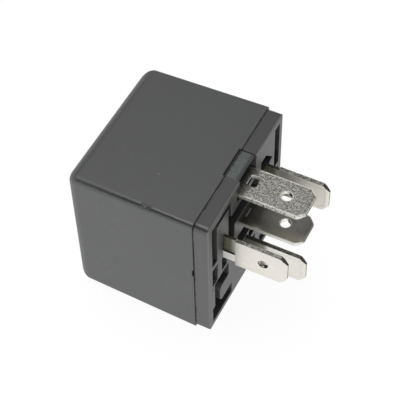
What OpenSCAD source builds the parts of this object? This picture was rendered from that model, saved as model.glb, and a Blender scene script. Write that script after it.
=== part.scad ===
// Plug-in change-over relay with five flat blades, lying on one side.
// +X is the way the blades point, +Z is the side that blade 87 is on, and the
// origin is under the middle of the relay, on the face it lies on.

/* [Cover] */
// Side of the square cover at its mouth
cover_w = 28.5; // [28:0.1:30]
// Length of the cover, closed end to mouth
cover_l = 23.4; // [23.2:0.1:26.5]
// Thickness of the cover's walls
cover_wall = 1.15; // [0.9:0.05:1.3]
// Draft of each side over the cover's length
cover_draft = 0.32; // [0.05:0.01:0.5]
// Rounding of the edges round the closed end
end_round = 2.3; // [1.4:0.1:3]
// Rounding of the four long edges
edge_round = 0.75; // [0.5:0.05:1.2]

/* [Base] */
// Height of the rim that shows between the cover and the blades' face
rim_l = 2.7; // [2.3:0.1:4]
// How far the rim stands in from the cover's outside
rim_step = 0.2; // [0.1:0.05:0.5]
// Thickness of the rim round the pockets
rim_wall = 1.4; // [1.1:0.05:1.6]
// Length of the plug that enters the cover
plug_l = 1.8; // [1.6:0.1:2]
// Depth of the moulded pockets round the blades
pocket_d = 2; // [1:0.1:2.2]
// Chamfer round the rim's outer edge
rim_chamfer = 0.25; // [0.1:0.05:0.4]
// Width of the locating tab on the rim
tab_w = 6; // [4:0.1:7]
// How far the locating tab reaches into the cover's notch
tab_reach = 0.25; // [0.1:0.05:0.4]
// Thickness of the tab's wall
tab_t = 0.5; // [0.4:0.05:0.8]
// Clearance of the plug, the tab and the snaps in the cover
cover_fit = 0.1; // [0.05:0.01:0.15]
// Radius of the snap beads on the plug
snap_r = 0.45; // [0.35:0.05:0.55]
// Length of each snap bead
snap_l = 9; // [6:0.5:14]

/* [Blades] */
// Width of a blade
blade_w = 6.3; // [5.8:0.1:6.5]
// Thickness of a blade and of the strips behind it
blade_t = 0.8; // [0.6:0.05:0.9]
// Length of a blade beyond the base
blade_l = 11.4; // [9:0.1:13]
// Diameter of the locking hole
hole_d = 1.8; // [1.2:0.1:2.4]
// Distance from the hole's centre to the blade's tip
hole_back = 4.3; // [3:0.1:5]
// Chamfer of the tip's corners
tip_corner = 1.2; // [0.8:0.1:1.6]
// Rounding of the chamfer's ends
tip_round = 0.9; // [0.3:0.1:0.9]
// Length of the lead-in bevel on each face of the tip
tip_bevel = 0.7; // [0.3:0.05:1]
// Depth of that bevel
bevel_depth = 0.2; // [0.1:0.05:0.25]
// Clearance round a blade in its slot
slot_fit = 0.05; // [0.02:0.01:0.08]

/* [Blade layout] */
// Height of blade 87 over the middle of the relay
rise_87 = 10.9; // [10.6:0.1:11.1]
// Height of blade 87a over the middle
rise_87a = 3.8; // [3.4:0.1:4.2]
// Distance of blade 30 below the middle
drop_30 = 6.65; // [6.2:0.05:6.9]
// Height of the coil blades over the middle
rise_coil = 3.5; // [3.2:0.1:3.8]
// Distance of each coil blade from the middle plane
spread_coil = 8.4; // [8.3:0.1:9]

/* [Magnet] */
// Thickness of the yoke
yoke_t = 1.6; // [1.2:0.1:1.8]
// Width of the yoke
yoke_w = 12; // [10:0.5:13]
// Clearance between the contact spring's loop and the cover
loop_fit = 0.55; // [0.4:0.05:0.7]
// Diameter of the core
core_d = 6; // [5:0.1:6.4]
// Diameter of the core's riveted end
core_end_d = 4.4; // [3.5:0.1:4.8]
// Diameter of the pole face
pole_d = 8.4; // [7:0.1:9.5]
// Thickness of the pole face
pole_t = 1; // [0.8:0.1:1.3]
// Length of the bobbin
bobbin_l = 12.7; // [12.3:0.1:12.9]
// Side of the bobbin's square flanges
flange_w = 13.4; // [12.8:0.1:13.6]
// Thickness of the flanges
flange_t = 1; // [0.8:0.1:1.4]
// Thickness of the bobbin's barrel
barrel_t = 0.85; // [0.6:0.05:1]
// Outer diameter of the winding
winding_d = 12.4; // [11:0.1:12.6]
// Thickness of the armature
armature_t = 1.4; // [1.2:0.05:1.5]
// Width of the armature
armature_w = 11; // [9:0.5:12]
// Length of the armature from the hinge edge
armature_l = 14; // [13:0.1:14.6]

/* [Contacts] */
// Thickness of the contact spring
spring_t = 0.25; // [0.15:0.01:0.3]
// Width of the contact spring
spring_w = 7; // [6:0.5:8]
// Distance of the contacts from the hinge edge
contact_arm = 18; // [17.6:0.1:18.3]
// Opening between the moving contact and the contact of blade 87
contact_gap = 0.8; // [0.5:0.05:0.9]
// Diameter of the contacts
contact_d = 3; // [2.4:0.1:3.4]
// Height of each contact's head
contact_h = 0.6; // [0.45:0.05:0.65]
// Diameter of the rivets
rivet_d = 1.6; // [1.2:0.1:2]
// Height of the rivets' heads
rivet_h = 0.5; // [0.3:0.05:0.6]

/* [Wires] */
// Diameter of the coil's end leads
lead_d = 0.24; // [0.16:0.02:0.3]
// Diameter of the resistor's body
resistor_d = 2.3; // [1.8:0.1:2.6]
// Length of the resistor's body
resistor_l = 6.2; // [5:0.1:7]
// Diameter of the resistor's leads
resistor_wire_d = 0.5; // [0.4:0.05:0.6]

/* [Hidden] */
$fn = 64;

tiny = 0.01;
// how far a cut runs past what it cuts, and a union into its neighbour
over = 1;
hinge_gap = 0.05;
touch_gap = 0.03;
rivet_fit = 0.02;
core_fit = 0.05;
snap_out = 0.3;
end_corner = 1.1;
cavity_round = 0.45;
roll_step = 11.25;
plug_round = 0.8;
pry_depth = 0.3;
pry_w = 1.6;
pry_rise = 0.8;
tab_back = 0.35;
slit_w = 0.15;
slit_depth = 0.7;

overall_l = cover_l + rim_l + blade_l;
end_x = -overall_l / 2;
mouth_x = end_x + cover_l;
face_x = mouth_x + rim_l;
tip_x = face_x + blade_l;
plug_x = mouth_x - plug_l;
mid_z = cover_w / 2;

rim_w = cover_w - 2 * rim_step;
rim_in = rim_w / 2 - rim_wall;
plug_w = cover_w - 2 * cover_wall - 2 * cover_fit;
rim_round = max(0.4, edge_round - rim_step / 2);
tab_y = 0.4;
rib_t = 1;
rib_drop = 0.6;
rib_top = rise_coil - rib_drop;

// block of solid face round a coil blade
block_side_in = 1.65;
block_side_out = 2.45;
block_above = 8.1;
block_below = 5.9;
block_in = spread_coil - block_side_in;
block_out = spread_coil + block_side_out;
block_top = rise_coil + block_above;
block_low = rise_coil - block_below;
// pad with rounded corners below the block, and the pockets round it
pad_in = 2;
pad_out = 0.8;
pad_rise = 2.5;
pad_drop = 3.7;
pad_round = 1.1;
pad_well = 1;
block_ledge = 0.3;
foot_well_in = 1.2;
foot_well_h = 3.6;
// solid face left round the flat blades and blade 30
land = 1.4;
below_87 = 2.3;
below_87a = 3.5;
above_30 = 0.35;
mid_well_w = 8;
mid_well_round = 0.8;
// pair of small pockets beside blade 30
cell_w = 2.6;
cell_h = 2.2;
cell_pitch = 3.3;
cell_rise = 0.35;
cell_land = 0.6;
// well round blade 87
well_drop = 1.2;
well_side = 1;
// pocket with a cut corner above the far coil blade
lobe_in = 1.2;
lobe_out = 3.2;
lobe_rise = 3.3;
lobe_h = 3.1;
lobe_flat = 1.8;
lobe_side = 0.3;

post_l = 1.9;
post_t = 1.5;
post_w = 4;

bend_r = 0.4;
z_87 = mid_z + rise_87;
z_87a = mid_z + rise_87a;
z_30 = mid_z - drop_30;
z_coil = mid_z + rise_coil;

foot_rim = 2.4;
loop_r = 1.1;
loop_drop = 0.6;
yoke_z = cover_wall + cover_draft + loop_fit + loop_r + spring_t / 2 + loop_drop;
axis_z = yoke_z + yoke_t + bend_r + flange_w / 2;
foot_x = plug_x - yoke_t;
bobbin_x = foot_x - bobbin_l;
pole_x = bobbin_x - pole_t;
foot_top = axis_z + core_end_d / 2 + foot_rim;

hinge_x = pole_x - hinge_gap;
hinge_z = yoke_z;
contact_z = hinge_z + contact_arm;
open_angle = asin(contact_gap / contact_arm);
spring_x = hinge_x - armature_t - spring_t;
no_tip_x = hinge_x - armature_t + contact_h + touch_gap;
no_strip_x = no_tip_x + contact_h;
nc_lead = armature_t + spring_t + contact_h + touch_gap;
nc_tip_x = hinge_x - (nc_lead + contact_arm * sin(open_angle)) / cos(open_angle);
nc_strip_x = nc_tip_x - contact_h;

strip_w = 5.2;
strip_margin = 0.6;
strip_foot = 0.2;
strip_end_z = contact_z - contact_d / 2 - strip_foot;
lance_l = 1.85;
lance_w = 2.3;
lance_y = 0.5;
lance_round = 0.5;
riser_gap = 1.05;
riser_w = 3.2;
riser_y = blade_w / 2 + riser_gap;
foot_plate_h = 4.2;

root_cut_l = 2.1;
root_cut_w = 0.85;
root_step = 0.3;
root_seat = 0.4;
stub_w = 1.8;
solder_tab_w = 2;
solder_tab_l = 4.7;
tenon_w = 2.4;
lug_w = 1.4;
lug_l = 1.5;
lug_y = yoke_w / 2 - lug_w;
lug_relief = 0.3;

armature_rivet_up = 5;
armature_rivet_z = hinge_z + armature_rivet_up;
armature_cut_l = 3;
armature_cut_w = 2;
armature_rivet_y = 2.4;
spring_leg_l = 8.2;
spring_rivet_back = 5.2;
spring_rivet_x = pole_x + spring_rivet_back;
spring_rivet_y = 2.2;
loop_lap = 0.1;
neck_l = 2;
tip_margin = 0.9;
spring_round = 1;
dome_h = 0.15;
tail_h = 0.2;
tail_spread = 1.4;
head_spread = 1.6;
barrel_r = core_d / 2 + core_fit + barrel_t;
flange_round = 1.2;
lead_notch = 2.4;

lead_angle = 40;
wrap_back = 2.8;
wrap_x = plug_x - wrap_back;
wrap_pitch = 0.3;
wrap_turns = 2;
resistor_back = 4.4;
resistor_x = plug_x - resistor_back;
resistor_stand = 0.65;
resistor_waist = 0.84;
lead_bend = 0.8;
resistor_z = axis_z + flange_w / 2 + resistor_stand + resistor_d / 2;

// ---- Helpers ----

// Extrudes a shape drawn in y and z along +X, from x
module along_x(x, l)
    translate([x, 0, 0]) rotate([90, 0, 90]) linear_extrude(l) children();

// Extrudes a shape drawn in x and z along Y, centred on y
module along_y(w, y = 0)
    translate([0, y, 0]) rotate([90, 0, 0]) linear_extrude(w, center = true) children();

// Rectangle between two corners
module span(low, high)
    translate(low) square(high - low);

// Rectangle between two corners, with rounded corners
module round_span(low, high, r) {
    span(low + [r, 0], high - [r, 0]);
    span(low + [0, r], high - [0, r]);
    for (u = [low.x + r, high.x - r], v = [low.y + r, high.y - r])
        translate([u, v]) circle(r);
}

// Both sides of the middle plane
module mirror_pair() {
    children();
    mirror([0, 1, 0]) children();
}

// Round bar along +X from x, at y and z
module bar_x(x, l, r, y = 0, z = 0)
    translate([x, y, z]) rotate([0, 90, 0]) cylinder(h = l, r = r);

// Section of a strip folded through a right angle. The outer corner is at the
// origin, one leg runs to a along +x, the other to -b along y
module fold(a, b, t, r) {
    outer = r + t;
    span([outer, -t], [a, 0]);
    span([0, -b], [t, -outer]);
    intersection() {
        translate([outer, -outer]) difference() {
            circle(outer);
            circle(r);
        }
        span([0, -outer], [outer, 0]);
    }
}

// Swings what rides on the armature from its pulled-in place to rest
module swung()
    translate([hinge_x, 0, hinge_z])
        rotate([0, -open_angle, 0])
            translate([-hinge_x, 0, -hinge_z]) children();

function unit(v) = v / norm(v);

// Wire through the points, with mitred bends, in a plane that `up` stands on
module wire(points, r, up, sides = 8) {
    last = len(points) - 1;
    rings = [for (i = [0:last])
        let (a = max(i, 1),
             b = min(i, last - 1),
             before = unit(points[a] - points[a - 1]),
             after = unit(points[b + 1] - points[b]),
             along = unit(before + after),
             across = unit(cross(along, up)),
             rise = cross(across, along),
             mitre = 1 / (along * after))
        [for (k = [0:sides - 1])
            let (turn = 360 * k / sides)
            points[i] + r * (mitre * cos(turn) * across + sin(turn) * rise)]];
    skin = [for (i = [0:last - 1], k = [0:sides - 1])
        let (n = (k + 1) % sides)
        [i * sides + k, i * sides + n, (i + 1) * sides + n, (i + 1) * sides + k]];
    start = [for (k = [sides - 1:-1:0]) k];
    finish = [for (k = [0:sides - 1]) last * sides + k];
    polyhedron([for (ring = rings) each ring], concat(skin, [start, finish]));
}

// ---- Housing ----

// Width across the cover's cavity at x
function cavity_w(x) =
    cover_w - 2 * cover_wall - 2 * cover_draft * (mouth_x - x) / cover_l;

// Corners of a rounded square in the plane at x: cones that point along X to the
// side `way`, into the hull that joins them, so that it meets only their rims
module corners(x, w, r, way) {
    at = w / 2 - r;
    for (u = [-1, 1], v = [-1, 1])
        translate([x, u * at, mid_z + v * at]) rotate([0, way * 90, 0])
            cylinder(h = r, r1 = r, r2 = 0, $fn = 32);
}

// Box along X whose sides spread from the closed end to the mouth. The closed
// end's edges are rolled to the radius `roll`, the long edges from r0 to r1
module drafted_box(x0, x1, w0, w1, roll, r0, r1) hull() {
    for (turn = [0:roll_step:90])
        corners(x0 + roll * (1 - sin(turn)), w0 - 2 * roll * (1 - cos(turn)), r0, 1);
    corners(x1, w1, r1, -1);
}

// One snap bead, or its groove when grown by the fit
module snap_bead(grow = 0)
    translate([mouth_x - plug_l / 2, plug_w / 2 + snap_out - snap_r, mid_z])
        cylinder(h = snap_l + 2 * grow, r = snap_r + grow, center = true);

// The tab on the rim that keys the cover, or its notch when grown by the fit
module key_tab(grow = 0, rise = 0)
    translate([mouth_x - tab_reach - grow, tab_y - tab_w / 2 - grow, mid_z + plug_w / 2 - over])
        cube([tab_reach + grow + over, tab_w + 2 * grow, (rim_w - plug_w) / 2 + over + rise]);

module cover() color([0.16, 0.16, 0.165]) {
    cavity_x = end_x + cover_wall;
    open_x = mouth_x + over;
    difference() {
        drafted_box(end_x, mouth_x, cover_w - 2 * cover_draft, cover_w,
                    end_round, end_corner, edge_round);
        drafted_box(cavity_x, open_x, cavity_w(cavity_x), cavity_w(open_x),
                    max(cavity_round, end_round - cover_wall), cavity_round, cavity_round);
        mirror_pair() {
            snap_bead(cover_fit);
            // notch for levering the cover off
            translate([mouth_x - pry_depth, plug_w / 2, mid_z + pry_rise])
                cube([pry_depth + over, 2 * cover_wall, pry_w]);
        }
        key_tab(cover_fit, 2 * rim_step);
    }
}

// Rectangle in y and z for a blade's slot, with the fit round it
module flat_slot(z)
    span([-blade_w / 2 - slot_fit, z - blade_t / 2 - slot_fit],
         [blade_w / 2 + slot_fit, z + blade_t / 2 + slot_fit]);

module upright_slot(y, z_low, z_high)
    span([y - blade_t / 2 - slot_fit, z_low - slot_fit],
         [y + blade_t / 2 + slot_fit, z_high + slot_fit]);

module blade_slots() {
    flat_slot(z_87);
    flat_slot(z_87a);
    upright_slot(0, z_30 - blade_w / 2, z_30 + blade_w / 2);
    for (side = [-1, 1])
        upright_slot(side * spread_coil, z_coil - blade_w / 2 + root_cut_w,
                     z_coil + blade_w / 2);
}

// Pockets of one half beside and below a coil blade, heights over the middle
module side_pockets() {
    span([-rim_in, rib_top], [-block_out, rim_in]);
    span([-rim_in, block_low], [-block_out, rib_top - rib_t]);
    difference() {
        union() {
            span([-block_out - pad_well, -rim_in + pad_rise], [-block_in, block_low - block_ledge]);
            span([-rim_in, -rim_in], [foot_well_in - block_in, -rim_in + foot_well_h]);
        }
        round_span([pad_out - block_out, -rim_in + pad_rise],
                   [pad_in - block_in, block_low - pad_drop], pad_round);
    }
}

// Every pocket in the base's outer face, in y and in height over the middle
module face_pockets() {
    flat_low = rise_87 - below_87;
    mid_top = rise_87a - below_87a;
    side = blade_w / 2 + land;
    for (far = [0, 1]) mirror([far, 0]) side_pockets();
    // round the near coil blade's block
    span([-block_out, block_top], [rib_t - block_in, rim_in]);
    span([-block_in, flat_low], [rib_t - block_in, rim_in]);
    span([-block_in, mid_top], [-side, flat_low]);
    // between blades 87 and 87a, under 87a, and beside blade 30
    span([-side, rise_87a + land], [side, flat_low]);
    round_span([-mid_well_w / 2, blade_w / 2 - drop_30 + above_30],
               [mid_well_w / 2, mid_top], mid_well_round);
    for (up = [-1, 1])
        translate([blade_t / 2 + cell_land, cell_rise - drop_30 + up * cell_pitch / 2])
            span([0, -cell_h / 2], [cell_w, cell_h / 2]);
    // well round blade 87, open behind the tab
    span([tab_y - tab_w / 2 - well_side, rise_87 - well_drop], [tab_y + tab_w / 2, rim_in]);
    span([tab_y - tab_w / 2, rise_87], [tab_y + tab_w / 2, rim_w / 2 - tab_t]);
    translate([block_in, rise_coil + lobe_rise])
        polygon([[-lobe_in, 0], [-lobe_in, lobe_h], [lobe_flat - lobe_in, lobe_h],
                 [lobe_out, lobe_side], [lobe_out, 0]]);
}

module base() color([0.13, 0.13, 0.135]) difference() {
    union() {
        along_x(mouth_x, rim_l) translate([0, mid_z])
            round_span([-rim_w / 2, -rim_w / 2], [rim_w / 2, rim_w / 2], rim_round);
        along_x(plug_x, plug_l + over) translate([0, mid_z])
            round_span([-plug_w / 2, -plug_w / 2], [plug_w / 2, plug_w / 2], plug_round);
        mirror_pair() {
            snap_bead();
            // post behind a coil blade's solder tab
            translate([plug_x - post_l, spread_coil + blade_t / 2 + slot_fit, z_coil - post_w / 2])
                cube([post_l + over, post_t, post_w]);
        }
        key_tab();
    }
    along_x(face_x - pocket_d, pocket_d + over) translate([0, mid_z]) face_pockets();
    along_x(plug_x - over, plug_l + rim_l + 2 * over) blade_slots();
    // seat of the plate behind blade 87a, with room for its inner bend
    along_x(plug_x - over, over + blade_t) foot_plate(slot_fit);
    along_y(blade_w + 2 * slot_fit)
        span([plug_x + blade_t - slot_fit, z_87a],
             [plug_x + blade_t + bend_r, z_87a + blade_t / 2 + bend_r]);
    mirror_pair()
        translate([plug_x - over, lug_y - slot_fit, yoke_z - slot_fit])
            cube([over + lug_l + cover_fit, lug_w + 2 * slot_fit, yoke_t + 2 * slot_fit]);
    // chamfer round the outer edge
    translate([face_x, 0, mid_z])
        for (turn = [0:90:270])
            rotate([turn, 0, 0]) translate([0, 0, rim_w / 2]) rotate([0, 45, 0])
                cube([rim_chamfer * sqrt(2), rim_w + over, rim_chamfer * sqrt(2)], center = true);
    // the tab's wall stops short of the face, and a slit parts it from the rim
    translate([face_x - tab_back, tab_y - tab_w / 2, mid_z + rise_87])
        cube([tab_back + over, tab_w, rim_w / 2 - rise_87 + over]);
    translate([mouth_x, tab_y + tab_w / 2, mid_z + rim_w / 2 - slit_depth])
        cube([rim_l + over, slit_w, slit_depth + over]);
}

// ---- Terminals ----

// Outline of a blade in x and its width, from x to the tip, with a hole and with
// chamfered corners whose ends are rounded
module blade_outline(x) difference() {
    half = blade_w / 2;
    flat_x = tip_x - tip_corner;
    flat_y = half - tip_corner;
    cut = tip_round * tan(22.5);
    slant = cut / sqrt(2);
    union() {
        polygon([[x, -half], [flat_x - cut, -half], [flat_x + slant, slant - half],
                 [tip_x - slant, -flat_y - slant], [tip_x, cut - flat_y],
                 [tip_x, flat_y - cut], [tip_x - slant, flat_y + slant],
                 [flat_x + slant, half - slant], [flat_x - cut, half], [x, half]]);
        for (side = [-1, 1]) {
            translate([flat_x - cut, side * (half - tip_round)]) circle(tip_round);
            translate([tip_x - tip_round, side * (flat_y - cut)]) circle(tip_round);
        }
    }
    translate([tip_x - hole_back, 0]) circle(d = hole_d);
}

// Flat blade at z = 0: the outline through the children's plan, thinned at the tip
module flat_blade() {
    half = blade_t / 2;
    thin = half - bevel_depth;
    intersection() {
        linear_extrude(2 * blade_t, center = true) children();
        along_y(2 * blade_w)
            polygon([[end_x, -half], [tip_x - tip_bevel, -half], [tip_x, -thin],
                     [tip_x, thin], [tip_x - tip_bevel, half], [end_x, half]]);
    }
}

// Stands a flat blade on its edge at y and z
module upright(y, z)
    translate([0, y, z]) rotate([90, 0, 0]) children();

module terminal_30() color([0.8, 0.79, 0.76])
    upright(0, z_30) flat_blade() {
        blade_outline(plug_x);
        // tenon staked into the yoke's foot
        span([foot_x, -tenon_w / 2], [plug_x + over, tenon_w / 2]);
    }

// Blade of the coil's circuit: notched at its root, with a solder tab inside.
// On its outer face, +z, the root is thinned but for a stub beside the notch
module coil_blade() difference() {
    low = root_cut_w - blade_w / 2;
    flat_blade() {
        difference() {
            blade_outline(plug_x);
            span([plug_x - over, -blade_w], [face_x + root_cut_l, low]);
        }
        span([plug_x - solder_tab_l, -solder_tab_w / 2], [plug_x + over, solder_tab_w / 2]);
    }
    translate([face_x - root_seat, low + stub_w, blade_t / 2 - root_step])
        cube([root_seat + root_cut_l, blade_w, blade_t]);
}

module terminal_85() color([0.82, 0.8, 0.77])
    upright(spread_coil, z_coil) mirror([0, 0, 1]) coil_blade();

module terminal_86() color([0.86, 0.85, 0.82]) upright(-spread_coil, z_coil) coil_blade();

// Hole for a contact's shank through a strip
module shank_hole()
    bar_x(end_x, overall_l / 2, rivet_d / 2 + rivet_fit, 0, contact_z);

module terminal_87() color([0.62, 0.61, 0.58]) {
    top = z_87 + blade_t / 2;
    translate([0, 0, z_87]) flat_blade() difference() {
        blade_outline(plug_x);
        // window of the locking lance
        round_span([face_x, lance_y - lance_w / 2],
                   [face_x + lance_l, lance_y + lance_w / 2], lance_round);
    }
    difference() {
        along_y(strip_w) translate([no_strip_x, top])
            fold(plug_x + over - no_strip_x, top - strip_end_z, blade_t, bend_r);
        shank_hole();
    }
}

// Outline in y and z of the plate that carries blade 87a's riser past blade 87
module foot_plate(grow = 0) {
    low = z_87a - blade_t / 2 - grow;
    side = riser_y + riser_w + grow;
    span([-blade_w / 2 - grow, low], [side, z_87a - blade_t / 2 + foot_plate_h + grow]);
    span([riser_y - grow, low], [side, z_87 + blade_t / 2 + grow]);
}

module terminal_87a() color([0.5, 0.5, 0.48]) {
    top = z_87 + blade_t / 2;
    back_x = plug_x + blade_t;
    front_x = nc_strip_x - blade_t;
    half_way = (back_x - front_x + over) / 2;
    bend = bend_r + blade_t;
    // blade, bent up from the plate
    translate([0, 0, z_87a]) flat_blade() blade_outline(plug_x + bend);
    along_y(blade_w) translate([plug_x, z_87a - blade_t / 2]) mirror([0, 1])
        fold(2 * bend, foot_plate_h, blade_t, bend_r);
    // plate, below the riser's bend and beside the blade's
    along_x(plug_x, blade_t) difference() {
        foot_plate();
        span([-blade_w, 0], [blade_w / 2, z_87a - blade_t / 2 + bend]);
        span([riser_y - over, top - bend], [riser_y + riser_w + over, top + over]);
    }
    // riser to the far end of the relay
    along_y(riser_w, riser_y + riser_w / 2) {
        translate([back_x, top]) mirror([1, 0])
            fold(half_way, 2 * bend, blade_t, bend_r);
        translate([front_x, top])
            fold(half_way, top - strip_end_z, blade_t, bend_r);
    }
    difference() {
        along_x(front_x, blade_t)
            round_span([-contact_d / 2 - strip_margin, strip_end_z],
                       [riser_y + riser_w, contact_z + contact_d / 2 + strip_margin],
                       strip_margin);
        shank_hole();
    }
}

// ---- Magnet ----

module yoke() color([0.62, 0.63, 0.64]) difference() {
    bend = bend_r + yoke_t;
    union() {
        // leg along the winding
        translate([pole_x, -yoke_w / 2, yoke_z])
            cube([plug_x - bend - pole_x, yoke_w, yoke_t]);
        // lugs that enter the base on both sides of the foot
        mirror_pair()
            translate([plug_x - 2 * bend, lug_y, yoke_z])
                cube([2 * bend + lug_l, lug_w, yoke_t]);
        // foot
        along_y(yoke_w - 2 * lug_w - 2 * lug_relief) translate([plug_x, yoke_z]) rotate(180)
            fold(2 * bend, foot_top - yoke_z, yoke_t, bend_r);
    }
    bar_x(foot_x - over, yoke_t + 2 * over, core_end_d / 2 + rivet_fit, 0, axis_z);
    translate([foot_x - over, -blade_t / 2 - rivet_fit, z_30 - tenon_w / 2 - rivet_fit])
        cube([yoke_t + 2 * over, blade_t + 2 * rivet_fit, tenon_w + 2 * rivet_fit]);
    mirror_pair() translate([spring_rivet_x, spring_rivet_y, yoke_z - over])
        cylinder(h = yoke_t + 2 * over, d = rivet_d + 2 * rivet_fit);
}

module core() color([0.7, 0.71, 0.72]) {
    bar_x(pole_x, pole_t, pole_d / 2, 0, axis_z);
    bar_x(pole_x, pole_t + bobbin_l, core_d / 2, 0, axis_z);
    bar_x(pole_x, pole_t + bobbin_l + yoke_t, core_end_d / 2, 0, axis_z);
}

module bobbin() color([0.85, 0.83, 0.78]) difference() {
    half = flange_w / 2;
    union() {
        bar_x(bobbin_x, bobbin_l, barrel_r, 0, axis_z);
        for (x = [bobbin_x, foot_x - flange_t])
            along_x(x, flange_t) translate([0, axis_z])
                round_span([-half, -half], [half, half], flange_round);
    }
    bar_x(bobbin_x - over, bobbin_l + 2 * over, core_d / 2 + core_fit, 0, axis_z);
    // notches where the winding's ends leave
    mirror_pair()
        translate([foot_x - flange_t - over, winding_d / 2 - lead_notch / 2,
                   axis_z + half - lead_notch])
            cube([flange_t + 2 * over, 3 * lead_d, lead_notch + over]);
}

module winding() color([0.72, 0.38, 0.2]) {
    x = bobbin_x + flange_t;
    l = bobbin_l - 2 * flange_t;
    difference() {
        bar_x(x, l, winding_d / 2, 0, axis_z);
        bar_x(x - over, l + 2 * over, barrel_r + tiny, 0, axis_z);
    }
}

// Corner k of the turns that a lead takes round its solder tab
function wrap_corner(side, k) =
    let (out = k % 4 == 1 || k % 4 == 2 ? 1 : -1,
         up = k % 4 >= 2 ? 1 : -1,
         off = lead_d / 2 + rivet_fit)
    [wrap_x - wrap_pitch * k / 4,
     side * (spread_coil + out * (blade_t / 2 + off)),
     z_coil + up * (solder_tab_w / 2 + off)];

// End of the winding, drawn across to a solder tab and wrapped on it
module coil_lead(side) {
    from = winding_d / 2 + lead_d / 2 + rivet_fit;
    start = [wrap_x, side * from * sin(lead_angle), axis_z + from * cos(lead_angle)];
    wire(concat([start], [for (k = [0:4 * wrap_turns]) wrap_corner(side, k)]),
         lead_d / 2, [1, 0, 0]);
}

module coil_lead_85() color([0.75, 0.4, 0.2]) coil_lead(1);

module coil_lead_86() color([0.75, 0.4, 0.2]) coil_lead(-1);

// Body of the resistor across the coil: a cylinder with thicker ends
module resistor() color([0.55, 0.65, 0.72])
    translate([resistor_x, 0, resistor_z]) rotate([90, 0, 0]) {
        cap = resistor_l / 4;
        cylinder(h = resistor_l, d = resistor_waist * resistor_d, center = true);
        for (side = [-1, 1])
            translate([0, 0, side * (resistor_l - cap) / 2])
                cylinder(h = cap, d = resistor_d, center = true);
    }

// Lead of the resistor, bent down onto the inner face of a solder tab
module resistor_lead(side) {
    r = resistor_wire_d / 2;
    bend = lead_bend;
    y = spread_coil - blade_t / 2 - r;
    arc = [for (turn = [0:22.5:90])
        [resistor_x, side * (y - bend + bend * sin(turn)),
         resistor_z - bend + bend * cos(turn)]];
    wire(concat([[resistor_x, side * resistor_l / 2, resistor_z]], arc,
                [[resistor_x, side * y, z_coil - solder_tab_w / 4]]), r, [1, 0, 0]);
}

module resistor_lead_85() color([0.75, 0.75, 0.74]) resistor_lead(1);

module resistor_lead_86() color([0.75, 0.75, 0.74]) resistor_lead(-1);

// ---- Contacts and armature ----

// Fixed contact: domed head towards +X, shank through a strip, set tail
module fixed_contact() rotate([0, 90, 0]) {
    r = contact_d / 2;
    ball = (r * r + dome_h * dome_h) / (2 * dome_h);
    rotate_extrude() intersection() {
        translate([0, contact_h - ball]) circle(ball, $fn = 200);
        span([0, 0], [r, contact_h]);
    }
    translate([0, 0, -blade_t - tail_h]) {
        cylinder(h = tail_h + blade_t + contact_h / 2, d = rivet_d);
        cylinder(h = tail_h, d = tail_spread * rivet_d);
    }
}

module contact_no() color([0.8, 0.8, 0.78])
    translate([no_strip_x, 0, contact_z]) mirror([1, 0, 0]) fixed_contact();

module contact_nc() color([0.8, 0.8, 0.78])
    translate([nc_strip_x, 0, contact_z]) fixed_contact();

module armature() color([0.6, 0.61, 0.62]) swung() difference() {
    half = armature_w / 2;
    along_x(hinge_x - armature_t, armature_t) translate([0, hinge_z])
        polygon([[-half, 0], [half, 0], [half, armature_l - armature_cut_l],
                 [half - armature_cut_w, armature_l], [armature_cut_w - half, armature_l],
                 [-half, armature_l - armature_cut_l]]);
    mirror_pair()
        bar_x(hinge_x - armature_t - over, armature_t + 2 * over, rivet_d / 2 + rivet_fit,
              armature_rivet_y, armature_rivet_z);
}

module armature_rivets() color([0.7, 0.7, 0.7]) swung() mirror_pair() {
    head_x = spring_x - rivet_h;
    shank_l = rivet_h + spring_t + armature_t;
    bar_x(head_x, rivet_h, head_spread * rivet_d / 2, armature_rivet_y, armature_rivet_z);
    bar_x(head_x, shank_l, rivet_d / 2, armature_rivet_y, armature_rivet_z);
}

// Leaf of the moving contact: a leg on the yoke, a loop round the hinge edge and
// an arm over the armature to the contact
module contact_spring() color([0.78, 0.55, 0.3]) {
    half = spring_w / 2;
    loop_x = spring_x + spring_t / 2 + loop_r;
    loop_z = hinge_z - loop_drop;
    inner = loop_r - spring_t / 2;
    outer = loop_r + spring_t / 2;
    leg_end = pole_x + spring_leg_l;
    neck_low = armature_l - neck_l / 2;
    neck_top = armature_l + neck_l / 2;
    tip = contact_d / 2 + tip_margin;
    tip_top = contact_arm + contact_d / 2 + tip_margin / 2;
    along_y(spring_w) {
        difference() {
            translate([loop_x, loop_z]) circle(outer);
            translate([loop_x, loop_z]) circle(inner);
            span([loop_x - 2 * loop_r, loop_z], [loop_x + 2 * loop_r, loop_z + 2 * loop_r]);
        }
        span([loop_x - outer, loop_z], [loop_x - inner, hinge_z - loop_lap]);
        span([loop_x + inner, loop_z], [loop_x + outer, hinge_z]);
    }
    difference() {
        translate([loop_x + inner, -half, yoke_z - spring_t])
            cube([leg_end - loop_x - inner, spring_w, spring_t]);
        mirror_pair() translate([spring_rivet_x, spring_rivet_y, yoke_z - over])
            cylinder(h = 2 * over, d = rivet_d + 2 * rivet_fit);
    }
    swung() difference() {
        along_x(spring_x, spring_t) translate([0, hinge_z]) {
            polygon([[-half, loop_lap - loop_drop], [half, loop_lap - loop_drop],
                     [half, neck_low], [tip, neck_top], [tip, tip_top - spring_round],
                     [-tip, tip_top - spring_round], [-tip, neck_top], [-half, neck_low]]);
            round_span([-tip, tip_top - 3 * spring_round], [tip, tip_top], spring_round);
        }
        shank_hole();
        mirror_pair()
            bar_x(spring_x - over, 2 * over, rivet_d / 2 + rivet_fit,
                  armature_rivet_y, armature_rivet_z);
    }
}

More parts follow.
